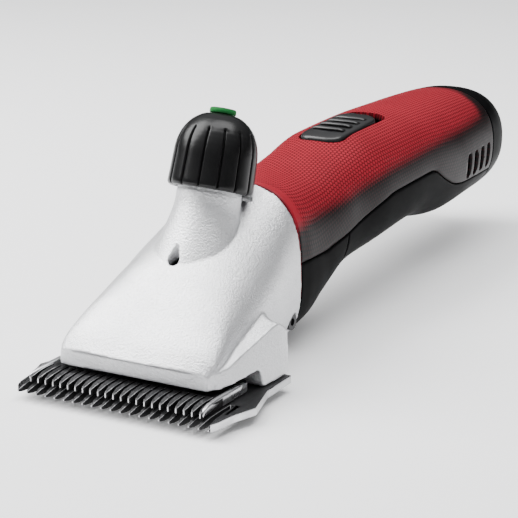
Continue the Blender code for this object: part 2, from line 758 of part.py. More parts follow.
def make_battery():
    first, last = NECK_END_Y + GAP, CAP_Y
    ys = [first] + [y for y in SHELL_YS if y > first]
    case = loft("battery_case", [lower_ring(y) for y in ys], "black_plastic")
    front = end_wall("battery_front_union", first, first + 2.0)
    rear = end_wall("battery_rear_union", last - 2.0, last)
    join(case, front, rear)
    motor = {"axis": "Y", "origin": (0, 0, MOTOR_Z)}
    cut(case, rod("motor_clearance_cutter", MOTOR_R + 1.0, 70, 118, **motor))
    cut(case, rod("release_cutter", 6.4, 8, 22, origin=(0, RELEASE_Y, 0)))
    for side, word in ((-1, "left"), (1, "right")):
        low, high = CELL_Y
        profile = ((0, low), (CELL_R - 0.6, low), (CELL_R, low + 0.6), (CELL_R, high - 0.6),
                   (CELL_R - 0.6, high), (3.4, high), (3.4, high + 1), (0, high + 1))
        origin = (side * (CELL_R + 0.3), 0, CELL_Z)
        turned(f"battery_cell_{word}", profile, "cell_wrap", 20, axis="Y", origin=origin)
    box("battery_contacts", (-9, CELL_Y[1] + 1.6, 21.5), (9, CELL_Y[1] + 2.8, 36), "brass")
    profile = ((0, 11.4), (5.2, 11.4), (6.0, 12.2), (6.0, 16.4), (7.6, 16.6), (7.6, 18.2), (0, 18.2))
    turned("battery_release", profile, "grey_plastic", 24, origin=(0, RELEASE_Y, 0))


def end_wall(name, low, high):
    """A wall across the lower half of the handle, from the seam down to the skin."""
    rings = []
    for y in (low, high):
        start = angle_at_height(y, seam_at(y) - GAP)
        angles = np.linspace(start, -math.pi - start, 13)
        rings.append([handle_point(y, angle, 1.0) for angle in angles])
    return loft(name, rings)


def make_end_cap():
    ys = (CAP_Y, 216.0, 221.0, 226.0, 229.5, 232.0)
    count = 36
    outer = [[handle_point(y, 2 * math.pi * i / count) for i in range(count)] for y in ys]
    cap = loft("end_cap", outer, "black_plastic")
    inner = [[handle_point(y, 2 * math.pi * i / 24, 2.4) for i in range(24)] for y in (CAP_Y, 222.0, 228.0)]
    inner.insert(0, [(x, y - 4, z) for x, y, z in inner[0]])
    cut(cap, loft("end_cap_cutter", inner))


# ---------------------------------------------------------------- drive


def gear_outline(teeth, phase, addendum=0.78, dedendum=1.15, thickness=0.43):
    """Outline of a spur gear with straight-sided teeth, in x and z about its own axis."""
    pitch_r = GEAR_MODULE * teeth / 2
    step = 2 * math.pi / teeth
    tip_r, root_r = pitch_r + addendum * GEAR_MODULE, pitch_r - dedendum * GEAR_MODULE
    half = step * thickness / 2
    lean = math.tan(math.radians(20)) * GEAR_MODULE / pitch_r
    outline = []
    for i in range(teeth):
        middle = phase + i * step
        for radius, angle in (
            (root_r, -half - lean * 0.9), (pitch_r, -half), (tip_r, -half + lean * 0.75),
            (tip_r, half - lean * 0.75), (pitch_r, half), (root_r, half + lean * 0.9),
        ):
            outline.append((radius * math.cos(middle + angle), radius * math.sin(middle + angle)))
    return outline


def make_drive():
    """Crank, roller, gears, bearings, their carriers, and the motor with its fan."""
    angle = math.radians(CRANK_REST)
    pin_x, pin_z = CRANK_THROW * math.sin(angle), CRANK_THROW * math.cos(angle)
    crank = turned(
        "crank_shaft",
        ((0, 53.4), (6.4, 53.4), (6.4, 54.6), (4.0, 54.6), (4.0, 69.6), (0, 69.6)),
        "machined_steel", 24, axis="Y", origin=(0, 0, CRANK_Z),
    )
    pin_origin = (pin_x, 0, CRANK_Z + pin_z)
    join(crank, rod("crank_pin_union", 2.4, 46.0, 54.0, axis="Y", origin=pin_origin, segments=24))
    roller = {"axis": "Y", "origin": pin_origin, "segments": 32}
    ring("crank_roller", 2.5, ROLLER_R, 46.3, 52.7, "machined_steel", **roller)
    bearing = {"axis": "Y", "origin": (0, 0, CRANK_Z), "segments": 24}
    ring("crank_bearing_front", 4.1, 9.0, 55.0, 60.0, "machined_steel", **bearing)
    ring("crank_bearing_rear", 4.1, 7.0, 66.4, 69.4, "machined_steel", **bearing)
    step = 2 * math.pi / GEAR_TEETH
    gear = end_extrusion(
        "drive_gear", gear_outline(GEAR_TEETH, math.pi / 2 + step / 2), 61.2, 65.2, "machined_steel",
        origin=(0, 0, CRANK_Z),
    )
    cut(gear, rod("gear_bore_cutter", 4.1, 58, 68, **bearing))
    shaft_origin = (0, 0, MOTOR_Z)
    pinion = end_extrusion(
        "motor_pinion", gear_outline(PINION_TEETH, -math.pi / 2), 61.0, 65.4, "brass", origin=shaft_origin
    )
    cut(pinion, rod("pinion_bore_cutter", 1.7, 58, 68, axis="Y", origin=shaft_origin, segments=20))
    turned(
        "motor_rotor",
        ((0, 61.0), (1.6, 61.0), (1.6, 75.0), (8.6, 75.0), (8.6, 101.0), (1.6, 101.0), (1.6, 118.5),
         (0, 118.5)),
        "machined_steel", 28, axis="Y", origin=shaft_origin,
    )
    low, high = MOTOR_Y
    turned(
        "motor_can",
        ((4.0, low), (MOTOR_R - 0.8, low), (MOTOR_R, low + 0.8), (MOTOR_R, high), (9.4, high),
         (9.4, low + 2.6), (4.0, low + 2.6)),
        "machined_steel", 40, axis="Y", origin=shaft_origin,
    )
    ring("motor_end_bell", 2.0, MOTOR_R - 0.6, high + GAP, high + 3.0, "black_plastic", axis="Y",
         origin=shaft_origin, segments=40)
    fan = ring("cooling_fan", 1.8, 4.0, 112.6, 117.6, "grey_plastic", axis="Y", origin=shaft_origin,
               segments=24)
    for i in range(7):
        blade = box(f"fan_blade_{i}", (-0.6, 112.6, 3.4), (0.6, 117.6, 11.0))
        blade.location = Vector(shaft_origin) * MM
        blade.rotation_euler = (0, 2 * math.pi * i / 7, 0)
        join(fan, blade)
    make_carriers(shaft_origin)


def make_carriers(shaft_origin):
    """The two plates that hold the crank's bearings and the front of the motor."""
    carrier = rod("bearing_carrier", 19.2, 55.2, 60.2, "cast_aluminium", segments=48, axis="Y",
                  origin=(0, 0, 26.4))
    cut(carrier, rod("front_bearing_cutter", 9.1, 50, 70, axis="Y", origin=(0, 0, CRANK_Z)))
    cut(carrier, rod("pinion_clearance_cutter", 5.0, 50, 70, axis="Y", origin=shaft_origin))
    plate = rod("motor_plate", 17.2, 66.3, 69.5, "cast_aluminium", segments=48, axis="Y", origin=(0, 0, 29.0))
    cut(plate, rod("rear_bearing_cutter", 7.1, 60, 75, axis="Y", origin=(0, 0, CRANK_Z)))
    cut(plate, rod("shaft_hole_cutter", 3.6, 60, 75, axis="Y", origin=shaft_origin))


# ---------------------------------------------------------------- small pieces


def make_gasket():
    """Dark ring squeezed between the head and the two housings."""
    count = 48
    low, high = HEAD_REAR_Y + GAP, HANDLE_FRONT_Y - GAP

    def slice_of_handle(level, inset):
        points = [handle_point(HANDLE_FRONT_Y, 2 * math.pi * i / count, inset) for i in range(count)]
        return [(x, y - HANDLE_FRONT_Y + level, z) for x, y, z in points]

    gasket = loft("collar_gasket", [slice_of_handle(y, -0.2) for y in (low, high)], "black_rubber")
    cut(gasket, loft("gasket_cutter", [slice_of_handle(y, 3.2) for y in (low - 4, high + 4)]))


def make_screws():
    for side, word in ((-1, "left"), (1, "right")):
        x, y, z = SIDE_SCREW
        profile = ((0, -0.6), (1.3, -0.6), (1.3, 0.4), (2.7, 0.4), (2.7, -3.0), (1.6, -3.0), (1.6, -6.0),
                   (0, -6.0))
        screw = turned(f"head_screw_{word}", profile, "blackened_steel", 24, axis="X")
        screw.location = Vector((side * x, y, z)) * MM
        screw.scale = (side, 1, 1)


def make_electronics():
    box("control_board", (-15, 122, 42.0), (15, 186, 43.6), "circuit_green")
    box("microswitch", (-5, 122, 43.9), (5, 132, 47.4), "black_plastic")
    for side, word in ((-1, "left"), (1, "right")):
        low, high = sorted((side * 18.6, side * 17.0))
        box(f"air_filter_{word}", (low, 178, 27.6), (high, 207, 37.9), "filter_foam")


def main():
    clear_scene()
    make_comb()
    make_cutter()
    make_fork()
    make_head()
    make_tension()
    make_upper_housing()
    make_switch()
    make_lower_housing()
    make_battery()
    make_end_cap()
    make_drive()
    make_gasket()
    make_screws()
    make_electronics()


main()
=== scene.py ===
"""Visual model of the cordless livestock shearing handpiece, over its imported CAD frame.

Lengths in the tables and helpers are millimetres in the frame's own axes: +Y back along the handle,
+Z up, origin on the comb's underside. Meshes are scaled to metres when they are made.
"""

import functools
import json
import math

import bmesh
import bpy
import numpy as np
from mathutils import Matrix, Vector


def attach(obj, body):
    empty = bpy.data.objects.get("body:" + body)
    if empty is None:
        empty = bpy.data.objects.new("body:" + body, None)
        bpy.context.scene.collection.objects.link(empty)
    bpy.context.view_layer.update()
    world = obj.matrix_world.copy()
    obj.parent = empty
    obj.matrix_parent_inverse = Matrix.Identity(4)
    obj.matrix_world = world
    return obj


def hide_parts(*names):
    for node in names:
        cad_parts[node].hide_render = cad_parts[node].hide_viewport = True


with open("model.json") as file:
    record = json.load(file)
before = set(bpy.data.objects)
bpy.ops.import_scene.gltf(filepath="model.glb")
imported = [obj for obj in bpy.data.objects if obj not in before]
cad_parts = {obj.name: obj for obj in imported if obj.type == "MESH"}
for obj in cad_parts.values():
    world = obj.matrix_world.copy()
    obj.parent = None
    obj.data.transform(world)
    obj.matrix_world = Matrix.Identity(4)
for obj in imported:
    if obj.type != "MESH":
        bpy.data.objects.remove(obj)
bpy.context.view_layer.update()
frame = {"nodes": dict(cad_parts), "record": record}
MM = 0.001

# ---------------------------------------------------------------- shape tables (as in the CAD model)

# y, top, widest level, bottom, half width, exponent above and below that level, lean in degrees
HEAD_STATIONS = (
    (-20.5, 12.6, 7.5, 2.9, 26.0, 7.0, 8.0, 0.0),
    (-16.0, 17.4, 8.3, 2.9, 27.4, 5.2, 8.0, 0.0),
    (-10.0, 22.8, 9.8, 2.9, 27.3, 3.6, 8.0, 0.0),
    (-2.0, 30.2, 12.5, 2.9, 26.8, 2.5, 8.0, 0.0),
    (6.0, 36.8, 16.0, 2.9, 26.4, 2.0, 7.0, 0.0),
    (14.0, 41.5, 20.0, 2.9, 25.8, 1.8, 6.0, -1.0),
    (22.0, 45.0, 23.5, 2.8, 25.1, 1.8, 5.0, -2.0),
    (30.0, 47.6, 26.0, 2.4, 24.3, 1.9, 4.2, -3.0),
    (38.0, 50.4, 27.6, 1.2, 23.4, 2.2, 3.6, -3.6),
    (46.0, 54.0, 28.5, 0.5, 22.9, 2.6, 3.3, -4.0),
)
# y, half width at the bottom, half width at the ridge, height of the ridge
SKIRT_STATIONS = (
    (-20.5, 25.0, 24.9, 12.0),
    (-17.3, 28.8, 27.5, 12.2),
    (-11.7, 30.6, 28.9, 13.0),
    (-5.0, 31.6, 29.5, 14.8),
    (3.7, 32.8, 30.3, 16.9),
    (10.0, 33.4, 30.9, 18.6),
    (15.0, 33.5, 31.3, 19.7),
    (16.6, 33.5, 32.3, 18.6),
    (18.3, 33.5, 33.1, 16.5),
)
# y, top, bottom, half width, exponent
HANDLE_STATIONS = (
    (47.4, 53.4, 0.8, 22.4, 2.9),
    (53.0, 52.2, 0.4, 22.4, 2.8),
    (60.0, 51.0, 1.0, 22.0, 2.7),
    (70.0, 50.6, 5.2, 21.5, 2.6),
    (90.0, 53.8, 12.8, 21.3, 2.5),
    (114.0, 57.8, 14.8, 23.2, 2.4),
    (144.0, 58.0, 17.2, 24.2, 2.4),
    (174.0, 57.4, 13.2, 24.5, 2.4),
    (198.0, 56.6, 14.0, 23.6, 2.4),
    (216.0, 55.4, 14.5, 22.0, 2.4),
    (226.0, 53.4, 15.6, 20.2, 2.3),
    (232.0, 50.2, 18.2, 17.4, 2.2),
)
# y, height of the seam between the two housings
SEAM = (
    (46.0, 28.6), (67.0, 27.6), (84.0, 29.4), (100.0, 33.2), (116.0, 36.9), (144.0, 38.0),
    (150.0, 37.6), (158.0, 32.8), (168.5, 28.2), (177.0, 26.8), (212.0, 25.4),
)
# y, height at which the red of the upper housing is halfway to black
FADE = ((40, 39.5), (58, 41), (86, 42), (113, 45.6), (147, 47.3), (188, 48.2), (204, 49.2), (212, 50.5))
FADE_HALF = 3.6
LIP_BOW = 2.4
FLARE_HEIGHT = 7.5
HANDLE_FRONT_Y, NECK_END_Y, CAP_Y, HANDLE_REAR_Y = 47.4, 84.0, 210.0, 232.0
HANDLE_LEAN, HANDLE_WALL = -4.0, 2.2
KNOB_RIM, KNOB_TILT, KNOB_RIBS = (0.0, 28.0, 53.9), 19.84, 14
BARREL_R, BARREL_TOP, BARREL_BORE_R = 10.3, 9.0, 6.4
SWITCH_Y, SWITCH_HALF_WIDTH, SWITCH_TRAVEL = (100.5, 135.0), 8.0, 6.5
COMB_TEETH, COMB_PITCH, COMB_TIP_Y, COMB_ROOT_Y, COMB_THICK = 21, 3.33, -30.0, -14.0, 2.6
CUTTER_TEETH, CUTTER_PITCH, CUTTER_TIP_Y, CUTTER_ROOT_Y = 23, 2.736, -27.0, -17.0
PIVOT_Y, FORK_REST = 24.0, -math.degrees(0.5 / 25.0)
OIL_HOLE = (0.0, 5.8, 38.2)
SIDE_SCREW_Y, SIDE_SCREW_Z = 43.4, 9.8
COMB_SCREW_X, COMB_SCREW_Y = 17.5, 10.0
VENT_FIRST_Y, VENT_PITCH, VENT_COUNT, VENT_Z = 182.0, 7.2, 4, 32.4
RELEASE_Y, MOTOR_Z = 186.0, 33.0
HOUSING_GAP = 0.3
ROUNDING, ROUNDING_LENGTH = 0.42, 0.8
FLOOR_Z, FLOOR_HALF = -2.7, 30000


@functools.lru_cache(maxsize=None)
def slopes(xs, ys):
    """Slope at each point, such that the cubic between two points never passes either."""
    steps, found = np.diff(xs), np.zeros(len(xs))
    secants = np.diff(ys) / steps
    found[0], found[-1] = secants[0], secants[-1]
    for i in range(1, len(xs) - 1):
        before, after = secants[i - 1], secants[i]
        if before * after > 0:
            w1, w2 = 2 * steps[i] + steps[i - 1], steps[i] + 2 * steps[i - 1]
            found[i] = (w1 + w2) / (w1 / before + w2 / after)
    return found


def smooth(x, xs, ys):
    """Value at x of a monotone cubic through the points (xs, ys)."""
    m = slopes(xs, ys)
    x = min(max(x, xs[0]), xs[-1])
    i = min(max(int(np.searchsorted(xs, x)) - 1, 0), len(xs) - 2)
    h = xs[i + 1] - xs[i]
    t = (x - xs[i]) / h
    return float(
        (2 * t**3 - 3 * t**2 + 1) * ys[i] + (t**3 - 2 * t**2 + t) * h * m[i]
        + (3 * t**2 - 2 * t**3) * ys[i + 1] + (t**3 - t**2) * h * m[i + 1]
    )


@functools.lru_cache(maxsize=None)
def station_at(stations, y):
    """The columns of a station table, read at y."""
    columns = list(zip(*stations))
    return [smooth(y, columns[0], column) for column in columns[1:]]


def rounded(angle, half_width, height, exponent):
    """Point of a superellipse: a box with rounded corners for a high exponent."""
    c, s = math.cos(angle), math.sin(angle)
    x = math.copysign(abs(c) ** (2 / exponent), c) * half_width
    z = math.copysign(abs(s) ** (2 / exponent), s) * height
    return x, z


def blend(value, low, high):
    """0 below low, 1 above high, and a straight line between."""
    return min(max((value - low) / (high - low), 0.0), 1.0)


def lip_bow(x, y):
    """How far the head's front lip curves back towards its corners."""
    return LIP_BOW * (x / 25) ** 2 * (1 - blend(y, -20.5, -4.0))


def head_ring(y, inset=0.0, count=120):
    """Section of the head's dome."""
    top, level, bottom, half, upper, lower, lean = station_at(HEAD_STATIONS, y)
    points = []
    for i in range(count):
        angle = 2 * math.pi * i / count
        height = (top - level if math.sin(angle) >= 0 else level - bottom) - inset
        x, z = rounded(angle, half - inset, height, upper if math.sin(angle) >= 0 else lower)
        points.append((x, y + lip_bow(x, y) + z * math.tan(math.radians(lean)), level + z))
    return points


def skirt_ring(y, steps=14):
    """Section of the skirt: a straight wall up to the ridge, then a hollow curve up to the dome."""
    ys, *columns = zip(*SKIRT_STATIONS)
    bottom_half, half, ridge = (float(np.interp(y, ys, column)) for column in columns)
    top, level, _, dome_half, upper, _, _ = station_at(HEAD_STATIONS, y)
    high = max(min(ridge + FLARE_HEIGHT, top - 2.0), ridge + 0.05)
    share = max(high - level, 0.0) / (top - level)
    inner = min(dome_half * (1 - share**upper) ** (1 / upper), half) - 0.8
    right = [(bottom_half, 2.9), (half, ridge)]
    for step in range(1, steps + 1):
        angle = math.pi / 2 * step / steps
        x = half - (half - inner) * math.sin(angle)
        right.append((x, ridge + (high - ridge) * (1 - math.cos(angle))))
    outline = right + [(-x, z) for x, z in reversed(right)]
    return [(x, y + lip_bow(x, y), z) for x, z in outline]


def seam_at(y):
    """Height of the seam, with its corners rounded off."""
    ys, zs = zip(*SEAM)
    return float(np.mean([np.interp(y + d, ys, zs) for d in (-2.4, -1.2, 0, 1.2, 2.4)]))


def handle_point(y, angle, inset=0.0):
    """Point of the handle's skin, or of a surface that lies inset under it."""
    top, bottom, half, exponent = station_at(HANDLE_STATIONS, y)
    level = (top + bottom) / 2
    x, z = rounded(angle, half - inset, (top - bottom) / 2 - inset, exponent)
    lean = HANDLE_LEAN * (1 - blend(y, HANDLE_FRONT_Y, 75.0))
    return x, y + z * math.tan(math.radians(lean)), level + z


def handle_top(y, x):
    """Height of the handle's upper skin."""
    top, bottom, half, exponent = station_at(HANDLE_STATIONS, y)
    level = (top + bottom) / 2
    return level + (top - level) * max(1 - (abs(x) / half) ** exponent, 0.0) ** (1 / exponent)


def angle_at_height(y, z):
    """Angle at which the right side of the handle reaches this height."""
    low, high = -math.pi / 2, math.pi / 2
    for _ in range(30):
        middle = (low + high) / 2
        low, high = (middle, high) if handle_point(y, middle)[2] < z else (low, middle)
    return low


# ---------------------------------------------------------------- mesh helpers


def make(name, points, faces, stuff=(), smoothed=True):
    """Mesh object from points in millimetres. stuff is one material or several."""
    mesh = bpy.data.meshes.new(name)
    mesh.from_pydata([tuple(c * MM for c in p) for p in points], [], faces)
    work = bmesh.new()
    work.from_mesh(mesh)
    bmesh.ops.recalc_face_normals(work, faces=work.faces)
    work.to_mesh(mesh)
    work.free()
    for one in stuff if isinstance(stuff, (list, tuple)) else (stuff,):
        mesh.materials.append(one)
    if smoothed:
        mesh.shade_smooth()
    obj = bpy.data.objects.new(name, mesh)
    bpy.context.scene.collection.objects.link(obj)
    return obj


def loft_mesh(rings, closed=True):
    """Points and faces through rings of equal length, with end caps."""
    count = len(rings[0])
    points = [p for ring in rings for p in ring]
    faces = [tuple(range(count)), tuple(range(len(points) - count, len(points)))] if closed else []
    for i in range(len(rings) - 1):
        for j in range(count):
            k = (j + 1) % count
            faces.append((i * count + j, i * count + k, (i + 1) * count + k, (i + 1) * count + j))
    return points, faces


def loft(name, rings, stuff=(), smoothed=True):
    return make(name, *loft_mesh(rings), stuff, smoothed)


def extrusion(name, outline, low, high, stuff=()):
    """Outline in x and y, drawn out from the height low to the height high."""
    return loft(name, [[(x, y, z) for x, y in outline] for z in (low, high)], stuff, smoothed=False)


def turned(name, profile, stuff=(), segments=96, axis="Z"):
    """Profile of (radius, place along the axis) turned about the axis."""
    rings = []
    for radius, along in profile:
        radius = max(radius, 0.001)
        ring = []
        for i in range(segments):
            angle = 2 * math.pi * i / segments
            u, v = radius * math.cos(angle), radius * math.sin(angle)
            ring.append({"Z": (u, v, along), "Y": (u, along, v), "X": (along, u, v)}[axis])
        rings.append(ring)
    return loft(name, rings, stuff)


def box(name, low, high, stuff=()):
    outline = ((low[0], low[1]), (high[0], low[1]), (high[0], high[1]), (low[0], high[1]))
    return extrusion(name, outline, low[2], high[2], stuff)


def bake(obj):
    """Puts the object's transform into its mesh."""
    obj.data.transform(obj.matrix_basis)
    obj.matrix_basis = Matrix()
    return obj


def on_knob(obj):
    """Moves a shape drawn about the knob's own axis, from its rim up, into place."""
    rotation = Matrix.Rotation(-math.radians(KNOB_TILT), 4, "X")
    obj.matrix_basis = Matrix.Translation(Vector(KNOB_RIM) * MM) @ rotation
    return bake(obj)


def combine(obj, others, operation="DIFFERENCE"):
    """Cuts the others out of obj, or joins them to it, and removes them."""
    for other in others:
        modifier = obj.modifiers.new("bool", "BOOLEAN")
        modifier.operation, modifier.solver, modifier.object = operation, "EXACT", other
        settle(obj)
        bpy.data.objects.remove(other)
    return obj


def settle(obj):
    """Replaces the mesh by what its modifiers make of it."""
    graph = bpy.context.evaluated_depsgraph_get()
    evaluated = obj.evaluated_get(graph)
    mesh = bpy.data.meshes.new_from_object(evaluated, preserve_all_data_layers=True, depsgraph=graph)
    obj.modifiers.clear()
    obj.data = mesh
    return obj


def remesh(obj, voxel, passes):
    """Rounds every edge as casting or moulding does."""
    modifier = obj.modifiers.new("remesh", "REMESH")
    modifier.mode, modifier.voxel_size, modifier.use_smooth_shade = "VOXEL", voxel * MM, True
    relax = obj.modifiers.new("relax", "SMOOTH")
    relax.factor, relax.iterations = 0.5, passes
    return settle(obj)


def soften(obj, width, segments, angle):
    """Bevels the edges that turn by more than the angle."""
    bevel = obj.modifiers.new("bevel", "BEVEL")
    bevel.width, bevel.segments, bevel.limit_method = width * MM, segments, "ANGLE"
    bevel.angle_limit = math.radians(angle)
    return settle(obj)


# ---------------------------------------------------------------- materials


class Graph:
    """Shorthand for building one material's nodes."""

    def __init__(self, name):
        self.material = bpy.data.materials.new(name)
        self.material.use_nodes = True
        self.nodes, self.links = self.material.node_tree.nodes, self.material.node_tree.links
        self.shader = self.nodes["Principled BSDF"]
        self.place = self.nodes.new("ShaderNodeTexCoord").outputs["Object"]

    def put(self, socket, value):
        if hasattr(value, "is_output"):
            self.links.new(value, socket)
        elif isinstance(value, tuple) and len(value) == 3 and len(socket.default_value) == 4:
            socket.default_value = (*value, 1.0)
        else:
            socket.default_value = value

    def math(self, operation, a, b=0.0, c=0.0):
        node = self.nodes.new("ShaderNodeMath")
        node.operation = operation
        for i, value in enumerate((a, b, c)):
            self.put(node.inputs[i], value)
        return node.outputs[0]

    def noise(self, scale, detail=3.0, rough=0.55, stretch=None, seed=0.0):
        node = self.nodes.new("ShaderNodeTexNoise")
        node.noise_dimensions = "4D"
        self.put(node.inputs["Scale"], scale)
        self.put(node.inputs["Detail"], detail)
        self.put(node.inputs["Roughness"], rough)
        self.put(node.inputs["W"], seed)
        if stretch:
            mapping = self.nodes.new("ShaderNodeMapping")
            mapping.inputs["Scale"].default_value = stretch
            self.links.new(self.place, mapping.inputs["Vector"])
            self.links.new(mapping.outputs[0], node.inputs["Vector"])
        else:
            self.links.new(self.place, node.inputs["Vector"])
        return node.outputs["Fac"]

    def ramp(self, value, low, high, out_low=0.0, out_high=1.0):
        node = self.nodes.new("ShaderNodeMapRange")
        for i, one in enumerate((value, low, high, out_low, out_high)):
            self.put(node.inputs[i], one)
        return node.outputs[0]

    def mix(self, share, a, b):
        node = self.nodes.new("ShaderNodeMix")
        node.data_type = "RGBA"
        self.put(node.inputs[0], share)
        self.put(node.inputs[6], a)
        self.put(node.inputs[7], b)
        return node.outputs[2]

    def bump(self, height, distance, normal=None, strength=1.0):
        node = self.nodes.new("ShaderNodeBump")
        self.put(node.inputs["Strength"], strength)
        self.put(node.inputs["Distance"], distance)
        self.put(node.inputs["Height"], height)
        if normal:
            self.links.new(normal, node.inputs["Normal"])
        return node.outputs[0]

    def done(self, colour, rough, metal=0.0, normal=None, **extra):
        self.put(self.shader.inputs["Base Color"], colour)
        self.put(self.shader.inputs["Roughness"], rough)
        self.put(self.shader.inputs["Metallic"], metal)
        if normal:
            self.links.new(normal, self.shader.inputs["Normal"])
        for name, value in extra.items():
            self.put(self.shader.inputs[name.replace("_", " ")], value)
        return self.material


def cast_metal():
    """Bare sand-blasted aluminium: a fine grain, small pits and faint blotches."""
    g = Graph("sand_blasted_casting")
    grain, blotch = g.noise(1500, 3.0, 0.7), g.noise(45, 4.0, 0.6, seed=2.0)
    pits = g.ramp(g.noise(1100, 3.0, 0.7, seed=5.0), 0.62, 0.78)
    tone = g.mix(g.ramp(blotch, 0.35, 0.7), (0.74, 0.745, 0.76), (0.86, 0.862, 0.87))
    tone = g.mix(g.math("MULTIPLY", g.ramp(grain, 0.45, 0.75), 0.35), tone, (0.5, 0.5, 0.52))
    tone = g.mix(g.math("MULTIPLY", pits, 0.25), tone, (0.35, 0.35, 0.37))
    normal = g.bump(grain, 0.00026, strength=1.0)
    normal = g.bump(blotch, 0.0004, normal, 0.3)
    return g.done(tone, g.ramp(grain, 0.3, 0.7, 0.36, 0.5), 0.96, normal)


def plastic(name, dark, light, rough=(0.36, 0.5), grain_scale=2200, depth=0.00002, specular=0.015):
    """Moulded plastic with a fine grain and uneven wear."""
    g = Graph(name)
    grain, wear = g.noise(grain_scale, 2.0), g.noise(60, 5.0, 0.6, seed=3.0)
    tone = g.mix(g.ramp(wear, 0.3, 0.75), dark, light)
    normal = g.bump(grain, depth, strength=0.35)
    return g.done(tone, g.ramp(wear, 0.3, 0.7, *rough), 0.0, normal, Specular_IOR_Level=specular)


def steel(name, dark, light, rough=(0.2, 0.34), stretch=(900, 60, 900), metal=1.0, depth=0.00003):
    """Ground or turned metal, with marks drawn out along one axis."""
    g = Graph(name)
    marks, wear = g.noise(1.0, 3.0, 0.6, stretch), g.noise(120, 4.0, 0.6, seed=4.0)
    tone = g.mix(g.ramp(marks, 0.3, 0.7), dark, light)
    tone = g.mix(g.math("MULTIPLY", g.ramp(wear, 0.5, 0.8), 0.3), tone, dark)
    return g.done(tone, g.ramp(wear, 0.3, 0.7, *rough), metal, g.bump(marks, depth, strength=0.6))


def scale_pattern(g, pitch):
    """Height of small domed hexagonal scales, from 0 in the grooves to 1, in the skin's own plan."""
    plan = g.nodes.new("ShaderNodeUVMap")
    plan.uv_map = "skin"
    parts = g.nodes.new("ShaderNodeSeparateXYZ")
    g.links.new(plan.outputs[0], parts.inputs[0])
    u, v = parts.outputs[0], parts.outputs[1]
    turn = 4 * math.pi / (math.sqrt(3) * pitch)
    waves = []
    for angle in (0, 120, 240):
        along_u = g.math("MULTIPLY", u, turn * math.cos(math.radians(angle)))
        phase = g.math("MULTIPLY_ADD", v, turn * math.sin(math.radians(angle)), along_u)
        waves.append(g.math("COSINE", phase))
    total = g.math("ADD", g.math("ADD", waves[0], waves[1]), waves[2])
    return g.ramp(total, -1.5, 0.5)


def red_skin():
    """Red plastic with fine scales, which darkens to plain black towards the lower edge."""
    g = Graph("shaded_red_skin")
    shade = g.nodes.new("ShaderNodeAttribute")
    shade.attribute_name = "shade"
    red = shade.outputs["Fac"]
    texture = g.nodes.new("ShaderNodeAttribute")
    texture.attribute_name = "scales"
    amount = texture.outputs["Fac"]
    scales, wear, grain = scale_pattern(g, 1.6), g.noise(50, 4.0, 0.6, seed=1.0), g.noise(2400, 2.0)
    tone = g.mix(g.ramp(wear, 0.3, 0.7), (0.27, 0.012, 0.022), (0.33, 0.016, 0.029))
    groove = g.math("MULTIPLY", g.math("SUBTRACT", 1.0, scales), amount)
    tone = g.mix(g.math("MULTIPLY", groove, 0.9), tone, (0.05, 0.001, 0.002))
    mottle = g.math("ADD", red, g.math("MULTIPLY", g.math("SUBTRACT", scales, 0.6), 0.22))
    tone = g.mix(g.ramp(mottle, 0.05, 0.95), (0.0015, 0.0015, 0.0017), tone)
    height = g.math("MULTIPLY", scales, amount)
    normal = g.bump(height, 0.00016, strength=0.7)
    normal = g.bump(grain, 0.00002, normal, 0.3)
    rough = g.math("ADD", g.ramp(wear, 0.3, 0.7, 0.36, 0.45), g.math("MULTIPLY", groove, 0.25))
    return g.done(tone, rough, 0.0, normal, Specular_IOR_Level=0.1)


CAST = cast_metal()
BLACK = plastic("satin_black", (0.0015, 0.0015, 0.0017), (0.003, 0.003, 0.0033))
KNOB_BLACK = plastic(
    "knob_black", (0.003, 0.003, 0.0032), (0.006, 0.006, 0.0063), (0.26, 0.36), 1800, specular=0.25)
SWITCH_BLACK = plastic(
    "switch_black", (0.006, 0.006, 0.0064), (0.011, 0.011, 0.0115), (0.3, 0.42), specular=0.5)
RUBBER = plastic(
    "gasket_rubber", (0.12, 0.003, 0.010), (0.18, 0.005, 0.016), (0.45, 0.6), specular=0.2)
GREY = plastic("grey_plastic_skin", (0.10, 0.10, 0.105), (0.15, 0.15, 0.155))
GREEN = plastic("green_plastic_skin", (0.018, 0.14, 0.035), (0.04, 0.24, 0.07), (0.3, 0.4))
GREEN_TOP = plastic("dark_green_top", (0.03, 0.055, 0.036), (0.06, 0.09, 0.065), (0.4, 0.55), 900, 0.00008)
RED = red_skin()
DARK_STEEL = steel(
    "blackened_blade_and_painted_shade", (0.02, 0.02, 0.021), (0.05, 0.05, 0.052), (0.34, 0.46), (700, 50, 700), 0.75)
BRIGHT_STEEL = steel("ground_steel_and_painted_highlight", (0.42, 0.42, 0.43), (0.7, 0.7, 0.71), (0.24, 0.36), (300, 60, 300))
TURNED_STEEL = steel("turned_steel", (0.38, 0.38, 0.4), (0.62, 0.62, 0.64))
SCREW_STEEL = steel(
    "screw_black", (0.02, 0.02, 0.02), (0.06, 0.06, 0.062), (0.3, 0.42), (500, 500, 500), 0.8)
BRASS = steel("brass_skin", (0.55, 0.38, 0.14), (0.78, 0.58, 0.26))
BOARD = plastic("board_green", (0.01, 0.10, 0.035), (0.02, 0.18, 0.06), (0.25, 0.35), 500)
WRAP = plastic("cell_sleeve", (0.03, 0.08, 0.25), (0.05, 0.13, 0.34), (0.2, 0.3), 300)
FOAM = plastic("filter_foam_skin", (0.008, 0.008, 0.008), (0.05, 0.05, 0.05), (0.85, 0.98), 1500, 0.0006)

